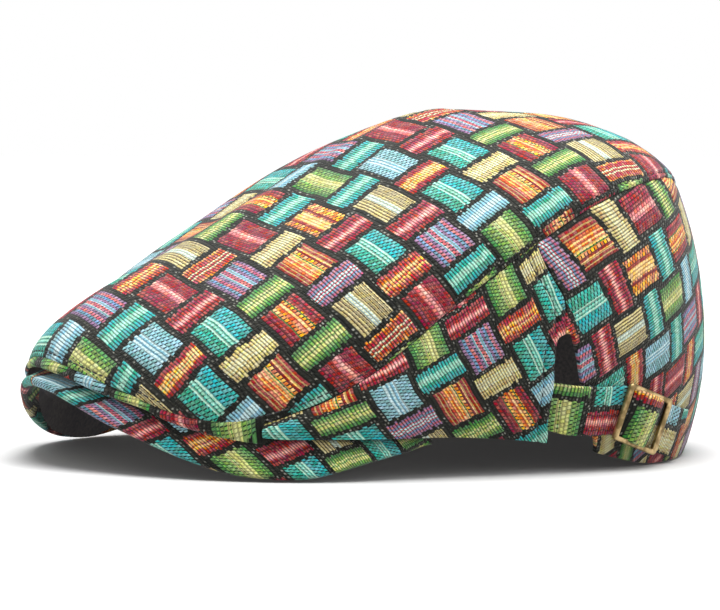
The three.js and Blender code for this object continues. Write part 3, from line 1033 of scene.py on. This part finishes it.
def wall_shape(a, v, lift):
    """Wall surface, drawn in a little along the seam and the hem."""
    depth = np.linalg.norm(hem_point(a) - seam_point(a), axis=-1)
    tuck = hump(v * depth, *SEAM_TUCK) + hump((1 - v) * depth, *HEM_TUCK)
    pucker = hump(v * depth, *SEAM_PUCKER) * waves(a * 1.7, v * 3, size=9, seed=3)
    soft = WALL_UNEVEN * waves(a * 1.6, v * depth, size=45, seed=2) * rising(v * (1 - v) * depth, 0, 6)
    place = wall_point(a, v)
    place[..., 2] -= read(DROP, "a", "by", np.abs(a)) * rising(v, DROP_FROM, 1 - DROP_FROM)
    return place + normals(wall_point, a, v) * (pucker + soft + lift - tuck)[..., None]


def sewn_seam(column):
    """Edge of a panel where the vertical seam is sewn all the way."""
    return lambda v: read(SLIT, "v", column, np.minimum(v, SEWN_TO))


def open_seam(column):
    """Edge of a panel where the seam is open below."""
    return lambda v: read(SLIT, "v", column, v)


def side_cloth(name, rear_edge, weave, mirror=1):
    """Side panel: its front end sinks to the front band, and its rear edge is folded and stitched."""
    far = np.linspace(0, 1 - SIDE_NEAR, 60)[:-1]
    share = np.concatenate([far, np.linspace(1 - SIDE_NEAR, 1, 22)])
    v, share = np.meshgrid(WALL_ROWS, share, indexing="ij")
    edge = rear_edge(v)
    a = SIDE_START + (edge - SIDE_START) * share
    ahead = (edge - a) * WALL_DEGREE
    pressed = hump(ahead - SIDE_STITCH_IN, *SIDE_GROOVE) + hump(ahead, *SIDE_TUCK)
    pucker = hump(ahead, *SIDE_PUCKER) * waves(ahead * 0.3, v * 60, size=8, seed=5)
    lift = pucker - pressed - SIDE_SUNK * (1 - rising(a, SIDE_START, 4)) ** 2
    thick = CLOTH - SIDE_THIN * (1 - rising(a, SIDE_START, 6)) ** 2
    outer = wall_shape(a, v, lift) * mirror
    inner = wall_shape(a, v, lift - thick) * mirror
    return cloth_shell(name, outer, inner, weave(a, v))


def make_side_stitches(name, edge, mirror=1):
    v = np.linspace(0.01, 0.99, 240)
    a = edge(v) - SIDE_STITCH_IN / WALL_DEGREE
    line = wall_shape(a, v, np.full(a.shape, -0.6))
    return stitches(name, line * mirror, normals(wall_point, a, v) * mirror)


def make_back():
    """Back panel from the open seam on the left round to the sewn one on the right."""
    v, share = np.meshgrid(WALL_ROWS, np.linspace(0, 1, 150), indexing="ij")
    start = open_seam("back")(v)
    a = start + (360 - sewn_seam("back")(v) - start) * share
    outer = wall_shape(a, v, np.zeros_like(a))
    inner = wall_shape(a, v, np.full_like(a, -CLOTH))
    return cloth_shell("back_cloth", outer, inner, weave_on_back(a, v))


# Peak: its upper face, rounded rim and underside are one closed section
RIM_BULGE = 1.4
RIM_ROWS = 11
PEAK_UNEVEN = 0.25
LINING_FROM = 17.0
HIDDEN_ROWS = 7
SHOWN_ROWS = 22


def make_peak():
    """Upper face, drawn in by the rim's bulge, and the underside one thickness below it."""
    a = np.linspace(-PEAK_END, PEAK_END, 200)
    hidden = np.linspace(0, PEAK_UNDER, HIDDEN_ROWS + 1)[:-1]
    v = np.concatenate([hidden, np.linspace(PEAK_UNDER, 1, SHOWN_ROWS)])
    vv, aa = np.meshgrid(v, a, indexing="ij")
    surface = peak_point(aa, vv)
    run = run_along(surface, 0)
    upper = np.empty_like(surface)
    for k in range(len(a)):
        at = run[:, k] * (run[-1, k] - RIM_BULGE) / run[-1, k]
        for c in range(3):
            upper[:, k, c] = np.interp(at, run[:, k], surface[:, k, c])
    normal = normals(peak_point, aa, vv)
    soft = waves(aa * TOP_DEGREE, vv * 9, size=16, seed=8) * rising(vv, PEAK_UNDER, 1 - PEAK_UNDER)
    upper = upper + normal * PEAK_UNEVEN * soft[..., None]
    lower = upper - normal * PEAK_THICK
    ahead = unit(surface[-1] - surface[-3])
    middle = (upper[-1] + lower[-1]) / 2
    half = (upper[-1] - lower[-1]) / 2
    turn = np.linspace(0, math.pi, RIM_ROWS + 2)[1:-1]
    rim = np.stack([middle + half * math.cos(t) + ahead * RIM_BULGE * math.sin(t) for t in turn])
    section = np.concatenate([upper, rim, lower[::-1]])
    x = run_along(peak_point(a, np.full(a.shape, 0.9)), 0)
    x = x - x[len(x) // 2] + 0 * section[..., 0]
    depth = run_along(section, 0)
    y = depth - depth[HIDDEN_ROWS]
    border = LINING_FROM + 0.2 * np.sin(np.arange(len(a)) * 0.31)
    return folded_shell("peak_cloth", section, weave_on_peak(x, y), y > border)


# Strap
def strap_line(a):
    """Middle line of the strap on the wall."""
    return wall_point(a, read(STRAP_PATH, "a", "v", a))


def strap_frame(a):
    """Directions along the strap, out of the wall and across the strap."""
    along = unit(strap_line(a + 0.5) - strap_line(a - 0.5))
    out = normals(wall_point, a, read(STRAP_PATH, "a", "v", a))
    return along, out, unit(np.cross(out, along))


def strap_point(a, distance, lift):
    """Point of the wall a distance across the strap from its middle line, lifted off it."""
    v = read(STRAP_PATH, "a", "v", a)
    across = strap_frame(a)[2]
    per_degree = wall_point(a + 0.5, v) - wall_point(a - 0.5, v)
    per_depth = (wall_point(a, v + 0.02) - wall_point(a, v - 0.02)) / 0.04
    aa = (per_degree * per_degree).sum(-1)
    av = (per_degree * per_depth).sum(-1)
    vv = (per_depth * per_depth).sum(-1)
    to_a = (across * per_degree).sum(-1) * distance
    to_v = (across * per_depth).sum(-1) * distance
    scale = aa * vv - av * av
    a = a + (to_a * vv - to_v * av) / scale
    v = v + (to_v * aa - to_a * av) / scale
    return wall_point(a, v) + normals(wall_point, a, v) * lift[..., None]


def make_strap():
    """Strap on the wall, lifted where it passes over the buckle's bars."""
    at = np.array([BUCKLE_AT])
    mm_per_degree = float(np.linalg.norm(strap_line(at + 0.5) - strap_line(at - 0.5)))
    s = np.linspace(*STRAP_RUN, 110)
    d = np.linspace(-STRAP_WIDTH / 2, STRAP_WIDTH / 2, 13)
    s, d = np.meshgrid(s, d, indexing="ij")
    lift = read(STRAP_LIFT, "s", "lift", s + BUCKLE_AHEAD)
    a = BUCKLE_AT + s / mm_per_degree
    outer = strap_point(a, d, lift)
    inner = strap_point(a, d, lift - STRAP_THICK)
    p = STRAP_BLOCK[0] + (d - STRAP_BLOCK_AT[0]) / TRIM_BLOCK[0]
    q = TRIMS + STRAP_BLOCK[1] + (s - STRAP_BLOCK_AT[1]) / TRIM_BLOCK[1]
    return cloth_shell("strap_cloth", outer, inner, np.stack([p, q], -1))


# Buckle and its cloth tab
def buckle_place():
    """Matrix from the buckle's own axes, with x along the strap, to the cap's, in metres."""
    at = np.array([BUCKLE_AT])
    along, out, across = (direction[0] for direction in strap_frame(at))
    pitch = math.radians(BUCKLE_PITCH)
    middle = strap_line(at)[0] + out * BUCKLE_LIFT - along * BUCKLE_AHEAD
    up = across * math.cos(pitch) - out * math.sin(pitch)
    axes = np.stack([along, up, np.cross(along, up)], 1)
    return Matrix([list(axes[k]) + [middle[k] * MM] for k in range(3)] + [[0, 0, 0, 1]])


def select_faces(mesh, chosen):
    """Selects faces by their middle in millimetres, and stays in edit mode."""
    bpy.ops.object.mode_set(mode="EDIT")
    bpy.ops.mesh.select_all(action="DESELECT")
    bpy.ops.object.mode_set(mode="OBJECT")
    for polygon in mesh.polygons:
        polygon.select = chosen(polygon.center / MM)
    bpy.ops.object.mode_set(mode="EDIT")


def make_buckle():
    """A grid whose lines are moved to the bars' edges, its windows taken out, then thickened."""
    bpy.ops.object.select_all(action="DESELECT")
    bpy.ops.mesh.primitive_grid_add(x_subdivisions=5, y_subdivisions=3, size=1)
    piece = bpy.context.object
    piece.name = "buckle_frame"
    half_x, half_y = BUCKLE_SIZE[0] / 2, BUCKLE_SIZE[1] / 2
    window_x, window_y = half_x - BAR_SIDE, half_y - BAR_END
    lines_x = [-half_x, -window_x, -BAR_MIDDLE / 2, BAR_MIDDLE / 2, window_x, half_x]
    lines_y = [-half_y, -window_y, window_y, half_y]
    for vertex in piece.data.vertices:
        column = round((vertex.co.x + 0.5) * 5)
        line = round((vertex.co.y + 0.5) * 3)
        vertex.co = (lines_x[column] * MM, lines_y[line] * MM, -BUCKLE_THICK / 2 * MM)
    select_faces(piece.data, lambda at: BAR_MIDDLE / 2 < abs(at.x) < window_x and abs(at.y) < window_y)
    bpy.ops.mesh.delete(type="FACE")
    bpy.ops.mesh.select_mode(type="VERT")
    bpy.ops.object.mode_set(mode="OBJECT")
    for vertex in piece.data.vertices:
        vertex.select = abs(vertex.co.x) > (half_x - 0.1) * MM and abs(vertex.co.y) > (half_y - 0.1) * MM
    bpy.ops.object.mode_set(mode="EDIT")
    bpy.ops.mesh.bevel(offset=BUCKLE_CORNER * MM, segments=5, affect="VERTICES")
    bpy.ops.mesh.select_all(action="SELECT")
    bpy.ops.mesh.extrude_region_move(TRANSFORM_OT_translate={"value": (0, 0, BUCKLE_THICK * MM)})
    bpy.ops.mesh.select_all(action="SELECT")
    bpy.ops.mesh.normals_make_consistent(inside=False)
    bpy.ops.object.mode_set(mode="OBJECT")
    round_edges(piece, BUCKLE_ROUND, segments=4, angle=SHARP_ANGLE)
    piece.data.transform(buckle_place())
    bpy.ops.object.select_all(action="DESELECT")
    bpy.context.view_layer.objects.active = piece
    piece.select_set(True)
    bpy.ops.object.shade_smooth_by_angle(angle=math.radians(SHARP_ANGLE))
    piece.select_set(False)
    piece.data.materials.append(BRASS)
    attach(piece, "root")
    return piece


def make_tab():
    """Loop of cloth round the buckle's middle bar."""
    turn = np.radians(np.linspace(0, 360, 37)[:-1])
    d, t = np.meshgrid(np.linspace(-TAB_WIDTH / 2, TAB_WIDTH / 2, 9), turn, indexing="ij")
    matrix = np.array(buckle_place())
    axis = [matrix[:3, k] for k in range(3)]
    line = matrix[:3, 3] / MM + d[..., None] * axis[1]

    def ring(radius):
        return line + (radius * np.cos(t))[..., None] * axis[0] + (radius * np.sin(t))[..., None] * axis[2]

    weave = np.stack([t * 2 / TAB_BLOCK[0], TRIMS + 4 + d / TAB_BLOCK[1]], -1)
    return cloth_shell("tab_cloth", ring(TAB_RADII[0]), ring(TAB_RADII[1]), weave, ring=True)


top = finish_cloth(make_top())
band = finish_cloth(make_band())
side_left = finish_cloth(side_cloth("side_cloth_left", open_seam("side"), weave_on_side), rounded=0.7)
side_right = finish_cloth(
    side_cloth("side_cloth_right", sewn_seam("side"), weave_on_right_side, MIRROR), rounded=0.7
)
back = finish_cloth(make_back(), rounded=0.7)
peak = finish_cloth(make_peak())
strap = finish_cloth(make_strap(), rounded=0.5)
tab = finish_cloth(make_tab())
buckle = make_buckle()
make_top_stitches()
make_side_stitches("topstitch_side_left", open_seam("side"))
make_side_stitches("topstitch_side_right", sewn_seam("side"), MIRROR)
for piece, node in (
    (top, "top_panel"),
    (side_left, "side_panel_left"),
    (side_right, "side_panel_right"),
    (back, "back_panel"),
    (peak, "peak"),
    (strap, "strap"),
    (tab, "buckle_tab"),
    (buckle, "buckle"),
):
    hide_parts(node)


# Studio
def pale_floor():
    """Matte pale floor that glows more with distance, as an overlit backdrop does."""
    n = Nodes("pale_floor")
    place = n.add("ShaderNodeTexCoord").outputs["Object"]
    length = n.add("ShaderNodeVectorMath", {0: place}, operation="LENGTH")
    return n.surface(
        Base_Color=(0.5, 0.5, 0.5, 1),
        Roughness=0.9,
        Specular_IOR_Level=0.1,
        Emission_Color=(1, 1, 1, 1),
        Emission_Strength=n.step(length.outputs["Value"], 0.1, 0.9, 0.02, 0.75),
    )


def make_floor():
    """Wide floor under the cap."""
    bpy.ops.object.select_all(action="DESELECT")
    bpy.ops.mesh.primitive_plane_add(size=12, location=(0, 0, 0))
    floor = bpy.context.object
    floor.name = "floor"
    floor.data.materials.append(pale_floor())


def lamp(name, place, aim, size, power):
    """Round soft lamp that faces a point."""
    light = bpy.data.lights.new(name, "AREA")
    light.shape = "DISK"
    light.size = size
    light.energy = power
    holder = bpy.data.objects.new(name, light)
    bpy.context.scene.collection.objects.link(holder)
    holder.location = place
    holder.rotation_euler = (Vector(aim) - Vector(place)).to_track_quat("-Z", "Y").to_euler()


def studio_world():
    """White overhead and at the horizon, with a darker band of walls between them."""
    world = bpy.data.worlds.new("studio")
    world.use_nodes = True
    tree = world.node_tree
    place = tree.nodes.new("ShaderNodeTexCoord")
    apart = tree.nodes.new("ShaderNodeSeparateXYZ")
    tree.links.new(place.outputs["Generated"], apart.inputs[0])
    walls = tree.nodes.new("ShaderNodeValToRGB")
    stops = walls.color_ramp.elements
    stops.new(0.2)
    stops.new(0.55)
    for stop, (at, grey) in zip(stops, ((0.1, 1.0), (0.2, 0.35), (0.55, 0.45), (0.85, 1.0))):
        stop.position = at
        stop.color = (grey, grey, grey, 1)
    tree.links.new(apart.outputs[2], walls.inputs[0])
    tree.links.new(walls.outputs[0], tree.nodes["Background"].inputs[0])
    return world


# Camera: the photograph's view, with the aimed point at its pixel in the photograph's frame
VIEW_AZIMUTH = 62.75
VIEW_ELEVATION = 2.9
VIEW_ROLL = 0.58
VIEW_DISTANCE = 1.3
VIEW_AIM = Vector((0, -0.0017, 0.06))
LENS = 182
FRAME_SIZE = (720, 610)
AIM_AT = (361.1, 284.6)


def make_camera():
    """Camera of the photograph's view, turned a little about its own axis."""
    azimuth, elevation = math.radians(VIEW_AZIMUTH), math.radians(VIEW_ELEVATION)
    back = Vector((
        math.sin(azimuth) * math.cos(elevation),
        -math.cos(azimuth) * math.cos(elevation),
        math.sin(elevation),
    ))
    level = Vector((math.cos(azimuth), math.sin(azimuth), 0))
    upright = back.cross(level)
    roll = math.radians(VIEW_ROLL)
    right = level * math.cos(roll) + upright * math.sin(roll)
    up = upright * math.cos(roll) - level * math.sin(roll)
    camera = bpy.data.cameras.new("photo_view")
    camera.lens = LENS
    camera.sensor_width = 36
    camera.shift_x = -(AIM_AT[0] - FRAME_SIZE[0] / 2) / FRAME_SIZE[0]
    camera.shift_y = (AIM_AT[1] - FRAME_SIZE[1] / 2) / FRAME_SIZE[0]
    camera.clip_start = 0.05
    camera.clip_end = 50
    holder = bpy.data.objects.new("photo_view", camera)
    bpy.context.scene.collection.objects.link(holder)
    turn = Matrix((right, up, back)).transposed()
    holder.matrix_world = Matrix.Translation(VIEW_AIM + back * VIEW_DISTANCE) @ turn.to_4x4()
    bpy.context.scene.camera = holder


make_floor()
make_camera()
lamp("softbox_above", place=(0.05, 0.1, 1.5), aim=(0, 0, 0.05), size=1.4, power=54)
lamp("softbox_behind", place=(1.3, 1.3, 0.9), aim=(0, 0, 0.06), size=1.2, power=9)
bpy.context.scene.world = studio_world()
bpy.context.scene.view_settings.view_transform = "Standard"
